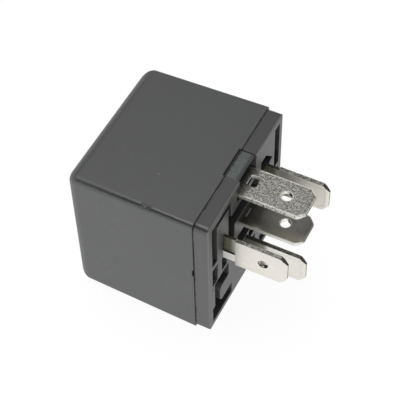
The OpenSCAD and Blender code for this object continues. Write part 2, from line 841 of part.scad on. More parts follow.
module spring_rivets() color([0.7, 0.7, 0.7]) mirror_pair() {
    translate([spring_rivet_x, spring_rivet_y, yoke_z - spring_t - rivet_h]) {
        cylinder(h = rivet_h, d = head_spread * rivet_d);
        cylinder(h = rivet_h + spring_t + yoke_t, d = rivet_d);
    }
}

module moving_contact() color([0.8, 0.8, 0.78]) swung() {
    bar_x(spring_x - contact_h, contact_h, contact_d / 2, 0, contact_z);
    bar_x(spring_x - contact_h, spring_t + 2 * contact_h, rivet_d / 2, 0, contact_z);
    bar_x(spring_x + spring_t, contact_h, contact_d / 2, 0, contact_z);
}

cover();
base();
terminal_30();
terminal_85();
terminal_86();
terminal_87();
terminal_87a();
yoke();
core();
bobbin();
winding();
coil_lead_85();
coil_lead_86();
resistor();
resistor_lead_85();
resistor_lead_86();
contact_no();
contact_nc();
armature();
armature_rivets();
contact_spring();
spring_rivets();
moving_contact();
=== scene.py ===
"""Finishes and stage for a plug-in change-over relay lying on one side."""

import math
from functools import partial

import bmesh
import bpy
from mathutils import Matrix, Vector


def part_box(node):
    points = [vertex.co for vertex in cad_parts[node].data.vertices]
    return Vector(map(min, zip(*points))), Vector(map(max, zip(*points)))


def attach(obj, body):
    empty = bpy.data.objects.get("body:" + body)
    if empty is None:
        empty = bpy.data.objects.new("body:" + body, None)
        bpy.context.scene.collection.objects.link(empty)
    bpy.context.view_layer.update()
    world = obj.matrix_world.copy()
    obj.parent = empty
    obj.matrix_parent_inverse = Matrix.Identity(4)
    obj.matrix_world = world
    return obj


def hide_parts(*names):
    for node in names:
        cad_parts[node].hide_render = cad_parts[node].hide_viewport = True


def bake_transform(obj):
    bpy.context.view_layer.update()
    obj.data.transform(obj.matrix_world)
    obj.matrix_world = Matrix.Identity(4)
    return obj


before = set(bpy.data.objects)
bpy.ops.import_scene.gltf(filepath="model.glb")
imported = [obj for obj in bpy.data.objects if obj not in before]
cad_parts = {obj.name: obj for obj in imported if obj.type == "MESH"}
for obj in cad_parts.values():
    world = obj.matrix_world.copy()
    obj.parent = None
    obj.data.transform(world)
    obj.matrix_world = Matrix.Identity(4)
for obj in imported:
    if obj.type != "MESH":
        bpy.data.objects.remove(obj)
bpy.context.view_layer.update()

bl_info = {
    "name": "Relay finishes",
    "version": (1, 0, 0),
    "blender": (4, 5, 0),
    "location": "View3D > Sidebar > Relay",
    "description": "Dresses the parts of a blade relay and sets its stage",
    "category": "Object",
}

MM = 0.001
RELAY = "relay"
COVER_LOW, COVER_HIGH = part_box("cover")
BASE_LOW, BASE_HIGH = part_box("base")
# Where the cover ends along the relay, and half the relay's height
SEAM = COVER_HIGH[0]
MIDDLE = (BASE_LOW[2] + BASE_HIGH[2]) / 2
# How far each side of the cover leans in over its length
COVER_DRAFT = 0.32 * MM
# Share of a diagonal step that lies along each axis
DIAGONAL = math.sqrt(0.5)


# ---------------------------------------------------------------- shader maths

class Value:
    """A socket that can be used in a sum."""

    def __init__(self, nodes, socket):
        self.nodes = nodes
        self.socket = socket

    def maths(self, operation, *others):
        return self.nodes.node("Math", {"operation": operation}, [self, *others])

    def __add__(self, other):
        return self.maths("ADD", other)

    __radd__ = __add__

    def __mul__(self, other):
        return self.maths("MULTIPLY", other)

    __rmul__ = __mul__

    def __sub__(self, other):
        return self.maths("SUBTRACT", other)

    def __rsub__(self, other):
        return self.nodes.node("Math", {"operation": "SUBTRACT"}, [other, self])

    def __pow__(self, other):
        return self.maths("POWER", other)

    def __lt__(self, other):
        return self.maths("LESS_THAN", other)

    def __gt__(self, other):
        return self.maths("GREATER_THAN", other)

    def __abs__(self):
        return self.maths("ABSOLUTE")

    def least(self, other):
        return self.maths("MINIMUM", other)

    def most(self, other):
        return self.maths("MAXIMUM", other)


class Nodes:
    """A node tree, built from expressions on its sockets."""

    def __init__(self, tree):
        self.tree = tree
        tree.nodes.clear()

    def node(self, kind, settings=None, inputs=(), output=0):
        """Adds a node: its settings first, then the values or links of its sockets."""
        made = self.tree.nodes.new("ShaderNode" + kind)
        for name, value in (settings or {}).items():
            setattr(made, name, value)
        pairs = inputs.items() if isinstance(inputs, dict) else enumerate(inputs)
        for key, value in pairs:
            if isinstance(value, Value):
                self.tree.links.new(value.socket, made.inputs[key])
            else:
                made.inputs[key].default_value = value
        return Value(self, made.outputs[output]) if made.outputs else None

    def others(self, value):
        """All outputs of the node that a value comes from, by name."""
        return {socket.name: Value(self, socket) for socket in value.socket.node.outputs}

    def vector(self, operation, *args, output=0):
        return self.node("VectorMath", {"operation": operation}, args, output)

    def parts(self, vector):
        """The three numbers of a vector."""
        return list(self.others(self.node("SeparateXYZ", inputs=[vector])).values())

    def step(self, value, low, high, start=0.0, end=1.0):
        """Goes smoothly from start to end as value goes from low to high, even if low is above high."""
        return self.node("MapRange", {"interpolation_type": "SMOOTHSTEP"},
                         {"Value": value, "From Min": low, "From Max": high,
                          "To Min": start, "To Max": end})

    def end(self, kind, surface):
        self.node("Output" + kind, inputs={"Surface": surface})


# Places of the colour sockets among all the sockets of a Mix node
MIX_SHARE, MIX_FIRST, MIX_SECOND, MIX_RESULT = 0, 6, 7, 2


class Finish(Nodes):
    """A material whose patterns lie in the place of the part."""

    def __init__(self, name):
        self.material = bpy.data.materials.new(name)
        self.material.use_nodes = True
        super().__init__(self.material.node_tree)
        self.here = self.node("TexCoord", output="Object")
        self.facing = self.others(self.here)["Normal"]
        self.x, self.y, self.z = self.parts(self.here)

    def stretched(self, x, y, z):
        """The place on the part, stretched by a factor along each axis."""
        return self.vector("MULTIPLY", self.here, (x, y, z))

    def noise(self, size, detail=2.0, rough=0.5, at=None, twist=0.0):
        """Noise whose patches are about `size` metres across."""
        return self.node("TexNoise", inputs={
            "Vector": at or self.here, "Scale": 1.0 / size, "Detail": detail,
            "Roughness": rough, "Distortion": twist})

    def specks(self, size, radius, chance, at=None):
        """Round specks of `radius` cells, in a share of the cells of a grid."""
        near = self.node("TexVoronoi", {"feature": "F1"},
                         {"Vector": at or self.here, "Scale": 1.0 / size}, "Distance")
        lot = self.parts(self.others(near)["Color"])[0]
        return self.step(near, radius, radius * 0.5) * (lot < chance)

    def mix(self, share, first, second):
        """Mixes two colours."""
        inputs = {MIX_SHARE: share}
        for key, colour in ((MIX_FIRST, first), (MIX_SECOND, second)):
            inputs[key] = colour if isinstance(colour, Value) else (*colour[:3], 1.0)
        return self.node("Mix", {"data_type": "RGBA"}, inputs, MIX_RESULT)

    def blend(self, share, first, second):
        """Goes from one number to another."""
        return (second - first) * share + first

    def bump(self, height, depth, below=None):
        """Relief of `depth` metres where height goes from 0 to 1."""
        inputs = {"Height": height, "Distance": depth, "Strength": 1.0}
        if below is not None:
            inputs["Normal"] = below
        return self.node("Bump", inputs=inputs)

    def done(self, **sockets):
        """Ends the material in one shader and returns the material."""
        inputs = {name.replace("_", " ").title().replace("Ior", "IOR"): value
                  for name, value in sockets.items()}
        self.end("Material", self.node("BsdfPrincipled", inputs=inputs))
        return self.material


def grey(level):
    return (level, level, level, 1.0)


def tint(colour, factor):
    return tuple(c * factor for c in colour[:3])


# ------------------------------------------------------------------- finishes

def long_edges(f, low, high, lean=0.0):
    """How far a place is from the two nearest long sides: both added, and the lesser."""
    half = (f.x - high[0]) * lean + (high[1] - low[1]) / 2
    side = half - abs(f.y)
    top = half - abs(f.z - (low[2] + high[2]) / 2)
    return side.most(0.0) + top.most(0.0), side.least(top)


def plastic_marks(f, flecks):
    """Pale specks of dust and hair-thin scratches, as two masks."""
    speck = f.specks(2.6 * MM, 0.05, flecks)
    dust = f.specks(0.9 * MM, 0.07, 0.035, at=f.stretched(1.0, 1.3, 1.1)) * 0.55
    along = f.noise(5 * MM, 2.0, at=f.stretched(0.35, 1.7, 1.7), twist=0.3)
    across = f.noise(6 * MM, 2.0, at=f.stretched(1.9, 0.4, 1.5), twist=0.2)
    line = f.step(abs(along - 0.5), 0.004, 0.001) + f.step(abs(across - 0.47), 0.003, 0.001)
    return speck.most(dust), line * f.step(f.noise(7 * MM, 1.0), 0.5, 0.62)


def marked(f, look, tone, colour, speck, line):
    """A plastic's colour with its scratches and dust on it."""
    tone = f.mix(line * 0.2, tone, tint(colour, 2.2))
    return f.mix(speck * 0.75, tone, look.dust_colour)


def moulded_relief(f, look):
    """The slight waves and the fine grain of a moulded face."""
    waves = f.bump(f.noise(12 * MM, 1.0), 0.02 * MM)
    return f.bump(f.noise(0.35 * MM), look.grain, waves)


def edge_nick(f, look, around):
    """Mask of the nick in the cover's upper edge on the near side."""
    reach = look.nick_length / 2
    length = f.step(abs(f.x - look.nick_place), reach, reach * 0.7)
    return length * f.step(around, 0.95 * MM, 0.7 * MM) * (f.y < 0.0) * (f.z > MIDDLE)


def cover_plastic(look):
    """Satin black plastic, polished along the rounded edges where hands rub it; the polished band is
    also darkened as painted shade.
    """
    f = Finish("cover_plastic")
    colour = look.cover_colour
    speck, line = plastic_marks(f, 0.3)
    cloud = f.noise(9 * MM, 3.0)
    patch = f.noise(1.4 * MM, 3.0)
    lean = COVER_DRAFT / (COVER_HIGH[0] - COVER_LOW[0])
    around = long_edges(f, COVER_LOW, COVER_HIGH, lean)[0]
    polish_and_edge_shade = f.step(around + (patch - 0.5) * (0.2 * MM), 0.8 * MM, 0.6 * MM)
    nick = edge_nick(f, look, around)
    rag = f.noise(0.35 * MM, 3.0, 0.7)

    tone = f.mix(cloud, tint(colour, 0.92), tint(colour, 1.08))
    tone = f.mix(f.step(patch, 0.35, 0.7) * 0.3, tone, tint(colour, 1.15))
    # Polished edge band: painted shade, a darker colour beside its lower roughness
    tone = f.mix(polish_and_edge_shade, tone, tint(colour, look.edge_tone))
    tone = f.mix(nick * f.step(rag, 0.42, 0.58), tone, tint(colour, 0.35))
    tone = f.mix(nick * f.step(rag, 0.6, 0.66), tone, tint(colour, 3.0))
    tone = marked(f, look, tone, colour, speck, line)
    rough = f.blend(polish_and_edge_shade, cloud * 0.08 + look.satin, 0.24) - line * 0.1 + speck * 0.2
    relief = f.bump(line, -0.004 * MM, moulded_relief(f, look))
    relief = f.bump(nick * rag, 0.15 * MM, relief)
    return f.done(base_color=tone, roughness=rough, normal=relief, ior=look.gloss_index)


def seam_dirt(f, patch, rim):
    """Dark dirt in the seam under the cover and pale crumbs beside it, as two masks."""
    from_seam = f.x - SEAM
    dirt = f.step(from_seam + (patch - 0.5) * (0.7 * MM), 0.24 * MM, 0.08 * MM)
    crumb = f.specks(0.4 * MM, 0.3, 0.3) * f.step(from_seam, 0.7 * MM, 0.1 * MM) * rim
    return dirt, crumb


def tab_top(f, look, patch, rim):
    """The top of the locating tab and the curled scuffs on it, as two masks."""
    top = BASE_HIGH[2]
    half = look.tab_width / 2
    tab = (f.step(f.z, top - 0.6 * MM, top - 0.4 * MM) * rim
           * f.step(abs(f.y - look.tab_place), half + 0.1 * MM, half - 0.1 * MM))
    swirl = f.node("TexWave", {"wave_type": "RINGS", "rings_direction": "Z"},
                   {"Vector": f.vector("SUBTRACT", f.here, (SEAM, 5 * MM, top)),
                    "Scale": 3.0 / look.tab_width, "Distortion": 9.0, "Detail": 3.0,
                    "Detail Scale": 1.5}, 1)
    return tab, f.step(swirl, 0.75, 0.95) * f.step(patch, 0.42, 0.56) * tab


def torn_patch(f, look, patch):
    """Mask of the ragged moulding flash in the near pocket."""
    across = f.step(abs(f.y - look.torn_place), 1.5 * MM, 1.0 * MM)
    upright = f.step(abs(f.z - look.torn_height), 3.6 * MM, 2.8 * MM)
    outer = f.x > (SEAM + BASE_HIGH[0]) / 2
    return across * upright * outer * f.step(patch, 0.42, 0.52)


def base_plastic(look):
    """The same plastic, with dirt along the cover's seam and scuffs on the locating tab; painted shade
    on the rim's top faces, its polished edges and the tab's front, and a painted highlight along the
    rim's front edge.
    """
    f = Finish("base_plastic")
    colour = look.base_colour
    speck, line = plastic_marks(f, 0.2)
    cloud = f.noise(9 * MM, 3.0)
    patch = f.noise(0.8 * MM, 3.0, 0.6)
    rag = f.noise(0.3 * MM, 3.0, 0.7)
    rim = f.x > SEAM
    around, near = long_edges(f, BASE_LOW, BASE_HIGH)
    polish_and_edge_shade = f.step(around, 1.1 * MM, 0.85 * MM) * rim
    # Mask of a painted highlight along the rim's front edge
    front = f.step(BASE_HIGH[0] - f.x, 0.3 * MM, 0.12 * MM) * f.step(near, 0.45 * MM, 0.25 * MM)
    rim_top_shade = f.step(f.parts(f.facing)[2], 0.6, 0.9) * rim
    dirt, crumb = seam_dirt(f, patch, rim)
    tab, scuff = tab_top(f, look, patch, rim)
    tab_front_shade = tab * f.step(f.x - SEAM, 1.75 * MM, 2.0 * MM)
    torn = torn_patch(f, look, patch)

    tone = f.mix(cloud, tint(colour, 0.9), tint(colour, 1.1))
    tone = f.mix(f.step(patch, 0.4, 0.7) * 0.3, tone, tint(colour, 1.25))
    # Painted shade: the rim's faces that look up are darker
    tone = f.mix(rim_top_shade, tone, tint(colour, 0.6))
    # Polished rim edges: painted shade, a darker colour beside their lower roughness
    tone = f.mix(polish_and_edge_shade, tone, tint(colour, look.edge_tone))
    # Painted highlight: a pale line along the rim's front edge
    tone = f.mix(front * 0.9, tone, tint(colour, 2.4))
    tone = f.mix(tab, tone, look.tab_colour)
    tone = f.mix(scuff * 0.5, tone, tint(look.tab_colour, 2.6))
    # Painted shade: the tab's front face nearly black
    tone = f.mix(tab_front_shade, tone, tint(colour, 0.15))
    tone = f.mix(torn * f.step(rag, 0.4, 0.55), tone, tint(colour, 0.25))
    tone = f.mix(torn * f.step(rag, 0.58, 0.64), tone, tint(colour, 2.8))
    tone = f.mix(dirt, tone, tint(colour, 0.1))
    tone = f.mix(crumb * 0.35, tone, tint(colour, 1.8))
    tone = marked(f, look, tone, colour, speck, line)
    rough = f.blend(polish_and_edge_shade, cloud * 0.08 + look.satin, 0.26) + speck * 0.2 + dirt * 0.3
    relief = f.bump(scuff, 0.01 * MM, moulded_relief(f, look))
    relief = f.bump(torn * rag, 0.2 * MM, relief)
    return f.done(base_color=tone, roughness=rough, normal=relief, ior=look.gloss_index)


class BladeFinish(Finish):
    """A blade's finish, with the distances and patterns that its marks follow."""

    def __init__(self, look, node, upright, band):
        super().__init__("plate_" + node.removeprefix("terminal_"))
        self.look = look
        self.low, self.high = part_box(node)
        self.nx, self.ny, self.nz = self.parts(self.facing)
        self.face = self.step(abs(self.ny if upright else self.nz), 0.6, 0.8)

        # Distances from the sides, the tip, the cut corners, the base and the locking hole
        across = self.z - (self.high[2] - look.blade_width / 2) if upright else self.y
        inside = look.blade_width / 2 - abs(across)
        tip = self.high[0] - self.x
        corner = (inside + tip - look.tip_corner) * DIAGONAL
        self.edge = inside.least(tip).least(corner)
        self.from_base = look.blade_length - tip
        back = tip - look.hole_back
        from_hole = (back * back + across * across) ** 0.5
        hole = look.hole_width / 2
        self.window = (inside > look.window_side) * (self.from_base < look.window_end)
        self.wall = (from_hole < hole + 0.15 * MM).most(self.window)

        # Patterns of the metal, and the bright burrs with painted highlight along the outline and round
        # the hole
        self.cloud = self.noise(2.4 * MM, 4.0, 0.6)
        self.sand = self.noise(0.22 * MM, 3.0, 0.7)
        self.grit = self.noise(0.34 * MM, 3.0, 0.6)
        border = self.step(self.edge, 0.3 * MM, 0.12 * MM)
        ring = self.step(from_hole, hole + 0.26 * MM, hole + 0.12 * MM)
        self.burr_and_highlight = border.most(ring) * self.step(self.grit, 0.3, 0.5) * band


def plated_face(f, tone, shade, grain, coin):
    """Colour of the plate: its pits, drawn marks, bright burrs with painted highlight, and coined
    border.
    """
    pitted = f.noise(0.4 * MM, 1.0) * 0.3 + f.sand * 0.7
    marks = f.noise(2.6 * MM, 2.0, at=f.stretched(0.6, 2.0, 2.0), twist=0.4)
    mark = f.step(abs(marks - 0.5), 0.012, 0.003) * f.step(f.noise(3 * MM, 1.0), 0.42, 0.6)
    plate = f.mix(f.step(f.cloud, 0.3, 0.7), tint(tone, 0.93), tone)
    plate = f.mix(f.step(pitted, 0.4, 0.6) * grain, plate, shade)
    plate = f.mix(mark * 0.35, plate, tint(tone, 1.2))
    plate = f.mix(f.burr_and_highlight, plate, f.look.burr_and_highlight_colour)
    return f.mix(coin * 0.3, plate, tint(tone, 0.6))


def cut_edge(f, smooth):
    """Colour of the sheared edges: painted highlight where they face the near side, also on the walls
    of holes, and painted shade on the facets that face out and up.
    """
    look = f.look
    # Painted highlight on the edges that face the near side
    bright = f.step(f.ny, -0.3, -0.8)
    if not smooth:
        bright = bright * f.step(f.grit, 0.34, 0.5)
    cut = f.mix(f.step(f.grit, 0.44, 0.56), look.cut_shade, look.cut_colour)
    # Painted shade on the facets that face out and up
    cut = f.mix((f.nx > 0.3) * (f.nz > 0.3) * 0.8, cut, tint(look.cut_shade, 0.3))
    cut = f.mix(bright, cut, look.burr_and_highlight_colour)
    # Walls of holes: painted highlight where they face the near side
    return f.mix(f.wall, cut, f.mix(f.step(f.ny, -0.1, -0.6), look.cut_colour, look.burr_and_highlight_colour))


def stepped_root(f, colour, rough):
    """Coil blade: a thinned root in painted shade and painted reflection of the dark base, with a
    painted highlight on the stub left at full thickness.
    """
    look = f.look
    outer = max(abs(f.low[1]), abs(f.high[1]))
    at_root = f.from_base < look.root_length
    shaded_recess = at_root * (outer - abs(f.y) > 0.12 * MM)
    # Painted shade and reflection on the thinned root, in speckled tones
    dull = f.mix(f.step(f.grit, 0.4, 0.7), tint(look.root_shade_colour, 2.6), tint(look.root_shade_colour, 4.6))
    # The painted shade lightens over the root's last millimetre
    fade = f.step(look.root_length - f.from_base, 1.1 * MM, 0.0)
    dull = f.mix(fade * 0.7, dull, look.plate_colour)
    recess_shade = f.mix(f.face, look.root_shade_colour, dull)
    # Painted highlight: the stub bright and mostly not metallic
    stub = at_root * (1.0 - shaded_recess) * f.face
    colour = f.mix(stub, f.mix(shaded_recess, colour, recess_shade), look.burr_and_highlight_colour)
    return colour, f.blend(shaded_recess, rough, 0.5), 1.0 - stub * 0.75


def shaded_root(f, colour, rough):
    """Blade 30: a plain root, with painted shade where it leaves the base."""
    shaded = f.step(f.from_base + (f.cloud - 0.5) * (1.0 * MM), 4.6 * MM, 3.4 * MM)
    return f.mix(shaded * 0.85, colour, tint(f.look.root_shade_colour, 2.0)), rough, 1.0


def scratched_root(f, colour, rough):
    """Blade 87a: a root in painted shade under blade 87, one scratch, and a painted reflection of the
    bright floor on the near side.
    """
    look = f.look
    near = f.step(f.y + look.blade_width / 2, 3.2 * MM, 0.3 * MM)
    side = near * f.step(f.from_base, 2 * MM, 5 * MM)
    root_shade_below = f.step(f.from_base, 7 * MM, 3.5 * MM)
    scratch = (f.step(abs(f.from_base - look.scratch_place), 0.1 * MM, 0.05 * MM)
               * (abs(f.y - look.scratch_side) < look.scratch_length / 2) * f.face * 0.6)
    # Painted reflection: lighter plate on the near side
    colour = f.mix(side * f.face * 0.6, colour, look.plate_colour)
    # Painted shade: darker towards the root, under blade 87
    colour = f.mix(root_shade_below * 0.35, colour, look.root_shade_colour)
    colour = f.mix(scratch, colour, look.burr_and_highlight_colour)
    return colour, rough, 1.0 - scratch - root_shade_below * 0.25


def lanced_root(f, colour, rough):
    """Blade 87: a darker band next to the base, both root dirt and painted shade; painted shade in the
    window of its locking lance, with a painted highlight on the window's far wall.
    """
    look = f.look
    painted_glint = f.window * f.step(f.ny, -0.2, -0.7)
    colour = f.mix(f.nz < -0.5, colour, tint(look.plate_colour, 0.75))
    # Darker next to the base: partly root dirt, partly painted shade
    colour = f.mix(f.step(f.from_base, 1.4 * MM, 0.4 * MM) * f.face * 0.5, colour, look.root_shade_colour)
    # Painted shade on the window's walls
    colour = f.mix(f.window * (1.0 - f.face), colour, tint(look.cut_shade, 0.5))
    # Painted highlight on the window's far wall, barely metallic
    colour = f.mix(painted_glint, colour, look.burr_and_highlight_colour)
    return colour, rough, 1.0 - painted_glint * 0.9


def blade_finish(look, node, upright, tone, shade, grain, rough, band, root, coined=0.0, smooth=False):
    """Plated blade: faces, sheared edges, hole walls with painted highlight, and the marks, painted
    shade and painted highlights of its root.
    """
    f = BladeFinish(look, node, upright, band)
    coin = f.step(abs(f.edge - look.coin_inset), 0.09 * MM, 0.03 * MM) * coined
    colour = f.mix(f.face, cut_edge(f, smooth), plated_face(f, tone, shade, grain, coin))
    face_rough = (f.cloud - 0.5) * 0.1 + f.sand * grain * 0.25 + f.burr_and_highlight * 0.1 + rough
    cut_rough = f.blend(f.wall, f.grit * 0.2 + 0.38, 0.15)
    colour, face_rough, metal = root(f, colour, face_rough)
    roll = f.noise(0.9 * MM, 2.0, at=f.stretched(0.12, 1.0, 1.0))
    relief = f.bump(roll, 0.003 * MM)
    relief = f.bump(f.blend(f.face, f.grit * 0.5, f.sand * grain), 0.02 * MM, relief)
    relief = f.bump(coin, -0.02 * MM, relief)
    return f.done(base_color=colour, roughness=f.blend(f.face, cut_rough, face_rough),
                  metallic=metal, normal=relief)


def inner_metal(name, colour, rough=0.35):
    """Rolled or turned metal inside the cover."""
    f = Finish(name)
    cloud = f.noise(3 * MM, 3.0)
    drawn = f.noise(0.5 * MM, 2.0, at=f.stretched(0.15, 1.0, 1.0))
    tone = f.mix(cloud, tint(colour, 0.86), tint(colour, 1.08))
    return f.done(base_color=tone, roughness=rough + drawn * 0.15, metallic=1.0,
                  normal=f.bump(drawn, 0.004 * MM))


def wound_copper(name, colour):
    """Layers of fine enamelled wire, side by side along the bobbin, each turn darker at one side as
    painted shade.
    """
    f = Finish(name)
    wire = 0.12 * MM
    turns = (f.x * (2 * math.pi / wire)).maths("SINE")
    cloud = f.noise(2 * MM, 2.0)
    # Painted shade: dark stripes between the turns
    tone = f.mix(f.step(turns, -1.0, 1.0), tint(colour, 0.55), tint(colour, 1.1))
    tone = f.mix(cloud * 0.3, tone, tint(colour, 0.7))
    return f.done(base_color=tone, roughness=0.28 + cloud * 0.1, metallic=1.0,
                  normal=f.bump(turns * 0.5 + 0.5, 0.03 * MM))


def moulded_nylon(name, colour):
    """Pale natural nylon."""
    f = Finish(name)
    cloud = f.noise(4 * MM, 3.0)
    tone = f.mix(cloud, tint(colour, 0.88), tint(colour, 1.05))
    return f.done(base_color=tone, roughness=0.42 + cloud * 0.1,
                  normal=f.bump(f.noise(0.4 * MM), 0.006 * MM))


def lacquer(name, colour):
    """Lacquered body of the resistor."""
    f = Finish(name)
    cloud = f.noise(1.2 * MM, 2.0)
    tone = f.mix(cloud, tint(colour, 0.8), tint(colour, 1.1))
    return f.done(base_color=tone, roughness=0.2 + cloud * 0.12,
                  normal=f.bump(f.noise(0.8 * MM), 0.02 * MM))


# ---------------------------------------------------------------------- pieces

# Distances under which points become one, before and after a solid is reshaped
WELD = 0.0001 * MM
MERGE = 0.01 * MM
# Angle under which faces become one
FLAT = math.radians(0.4)
ROUND_STEPS = 2
EVEN_WEIGHT = 80
# Room beside the foot of blade 86 on the near and far side, and the well's reach into its slot
WELL_NEAR = 0.4 * MM
WELL_FAR = 0.6 * MM
WELL_OVERLAP = 0.8 * MM


def square_up(bm, node, look, upright):
    """Draws the roundings of a blade's tip corners out to the straight chamfers."""
    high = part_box(node)[1]
    middle = high[2] - look.blade_width / 2 if upright else 0.0
    reach = look.tip_corner + look.tip_round
    for vert in bm.verts:
        across = vert.co.z - middle if upright else vert.co.y
        side = look.blade_width / 2 - abs(across)
        tip = high[0] - vert.co.x
        if min(side, tip) < 0.0 or max(side, tip) > reach or (upright and across < 0.0):
            continue
        chamfer = (side + tip - look.tip_corner) * DIAGONAL
        nearest = min(side, tip, chamfer)
        way = math.copysign(1.0, across)
        if nearest == side:
            push = Vector((0.0, side * way))
        elif nearest == tip:
            push = Vector((tip, 0.0))
        else:
            push = Vector((1.0, way)) * chamfer * DIAGONAL
        if push.length > look.tip_round * 0.1:
            continue
        vert.co.x += push.x
        if upright:
            vert.co.z += push.y
        else:
            vert.co.y += push.y


def round_rim(bm, look):
    """Gives the rim's four long edges the fuller rounding of a handled part."""
    centre = (BASE_HIGH[1] - BASE_LOW[1]) / 2 - look.rim_round
    gain = look.rim_worn - look.rim_round
    for vert in bm.verts:
        out = Vector((abs(vert.co.y) - centre, abs(vert.co.z - MIDDLE) - centre))
        if vert.co.x < SEAM - MERGE or min(out) < -MERGE / 10:
            continue
        out = out - Vector((gain, gain)) + out.normalized() * gain
        vert.co.y = math.copysign(centre + out.x, vert.co.y)
        vert.co.z = math.copysign(centre + out.y, vert.co.z - MIDDLE) + MIDDLE


def cut_pocket(piece, low, high):
    """Takes a box out of a piece."""
    mesh = bpy.data.meshes.new("cutter")
    shape = bmesh.new()
    bmesh.ops.create_cube(shape, size=1.0)
    for vert in shape.verts:
        vert.co = Vector(last if side > 0.0 else first
                         for side, first, last in zip(vert.co, low, high))
    shape.to_mesh(mesh)
    shape.free()
    cutter = bpy.data.objects.new("cutter", mesh)
    bpy.context.scene.collection.objects.link(cutter)
    cut = piece.modifiers.new("cut", "BOOLEAN")
    cut.object = cutter
    cut.solver = "EXACT"
    graph = bpy.context.evaluated_depsgraph_get()
    piece.data = bpy.data.meshes.new_from_object(piece.evaluated_get(graph))
    piece.modifiers.clear()
    bpy.data.objects.remove(cutter)


def softened(node, radius, sharpest=30.0, reshape=None, pockets=()):
    """Copy of a solid with its edges of more than `sharpest` degrees rounded off a little."""
    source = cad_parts[node]
    bm = bmesh.new()
    bm.from_mesh(source.data)
    bmesh.ops.remove_doubles(bm, verts=bm.verts, dist=WELD)
    if reshape:
        reshape(bm)
        bmesh.ops.remove_doubles(bm, verts=bm.verts, dist=MERGE)
    bmesh.ops.dissolve_limit(bm, angle_limit=FLAT, verts=bm.verts, edges=bm.edges)
    mesh = bpy.data.meshes.new(node + "_finished")
    bm.to_mesh(mesh)
    bm.free()
    piece = bpy.data.objects.new(mesh.name, mesh)
    bpy.context.scene.collection.objects.link(piece)
    for low, high in pockets:
        cut_pocket(piece, low, high)
    piece.data.shade_smooth()
    bevel = piece.modifiers.new("edge_round", "BEVEL")
    bevel.width = radius
    bevel.segments = ROUND_STEPS
    bevel.limit_method = "ANGLE"
    bevel.angle_limit = math.radians(sharpest)
    bevel.use_clamp_overlap = False
    bevel.harden_normals = False
    even = piece.modifiers.new("even_shading", "WEIGHTED_NORMAL")
    even.keep_sharp = True
    even.weight = EVEN_WEIGHT
    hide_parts(node)
    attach(piece, RELAY)
    return piece


def bending_spring():
    """Copy of the contact spring, its shape left as it is."""
    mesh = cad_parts["contact_spring"].data.copy()
    piece = bpy.data.objects.new("contact_spring_finished", mesh)
    bpy.context.scene.collection.objects.link(piece)
    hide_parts("contact_spring")
    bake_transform(piece)
    return piece


def dress(piece, material):
    piece.data.materials.clear()
    piece.data.materials.append(material)


def dress_node(node, material):
    """Gives a solid from the model a finish, its shape left as it is."""
    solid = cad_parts[node]
    for slot in solid.material_slots:
        slot.material = material
    if not solid.material_slots:
        solid.data.materials.append(material)


class RELAY_PG_housing(bpy.types.PropertyGroup):
    """Colours and sizes of the cover and the base"""
    cover_colour: bpy.props.FloatVectorProperty(
        name="Cover colour", description="Colour of the cover's plastic",
        subtype="COLOR", size=3, default=(0.05, 0.0515, 0.0515), min=0.0, max=1.0)
    base_colour: bpy.props.FloatVectorProperty(
        name="Base colour", description="Colour of the base's plastic",
        subtype="COLOR", size=3, default=(0.05, 0.0505, 0.05), min=0.0, max=1.0)
    tab_colour: bpy.props.FloatVectorProperty(
        name="Tab colour", description="Colour of the rubbed locating tab",
        subtype="COLOR", size=3, default=(0.055, 0.068, 0.064), min=0.0, max=1.0)
    dust_colour: bpy.props.FloatVectorProperty(
        name="Dust colour", description="Colour of the specks of dust",
        subtype="COLOR", size=3, default=(0.42, 0.42, 0.4), min=0.0, max=1.0)
    # Darkness of the polished edges, which is painted shade
    edge_tone: bpy.props.FloatProperty(
        name="Edge tone", description="Colour of the polished edges against the rest",
        default=0.7, min=0.0, max=2.0)
    satin: bpy.props.FloatProperty(
        name="Satin", description="Roughness of the plain faces", default=0.42, min=0.0, max=1.0)
    gloss_index: bpy.props.FloatProperty(
        name="Gloss index", description="Index of refraction of the plastic's skin",
        default=1.7, min=1.0, max=2.0)
    cover_edge: bpy.props.FloatProperty(
        name="Cover edge", description="Rounding of the cover's sharp edges at its mouth",
        unit="LENGTH", default=0.12 * MM)
    base_edge: bpy.props.FloatProperty(
        name="Base edge", description="Rounding of the base's sharp edges",
        unit="LENGTH", default=0.08 * MM)
    rim_round: bpy.props.FloatProperty(
        name="Rim rounding", description="Rounding of the rim's long edges as moulded",
        unit="LENGTH", default=0.65 * MM)
    rim_worn: bpy.props.FloatProperty(
        name="Worn rim rounding", description="Rounding of the rim's long edges after wear",
        unit="LENGTH", default=1.05 * MM)
    tab_width: bpy.props.FloatProperty(
        name="Tab width", description="Width of the locating tab", unit="LENGTH", default=6 * MM)
    tab_place: bpy.props.FloatProperty(
        name="Tab place", description="Distance of the tab's middle from the middle plane",
        unit="LENGTH", default=0.4 * MM)
    well_depth: bpy.props.FloatProperty(
        name="Well depth", description="Depth of the well under blade 86",
        unit="LENGTH", default=1.2 * MM)
    well_height: bpy.props.FloatProperty(
        name="Well height", description="How far the well reaches below blade 86",
        unit="LENGTH", default=2.4 * MM)
    nick_place: bpy.props.FloatProperty(
        name="Nick place", description="Place along the relay of the nick in the cover's edge",
        unit="LENGTH", default=-3.7 * MM)
    nick_length: bpy.props.FloatProperty(
        name="Nick length", description="Length of the nick in the cover's edge",
        unit="LENGTH", default=2 * MM)
    torn_place: bpy.props.FloatProperty(
        name="Torn place", description="Distance of the torn flash from the middle plane",
        unit="LENGTH", default=-11.5 * MM)
    torn_height: bpy.props.FloatProperty(
        name="Torn height", description="Height of the torn flash over the floor",
        unit="LENGTH", default=13 * MM)
    grain: bpy.props.FloatProperty(
        name="Grain", description="Depth of the plastic's moulded grain",
        unit="LENGTH", default=0.006 * MM)


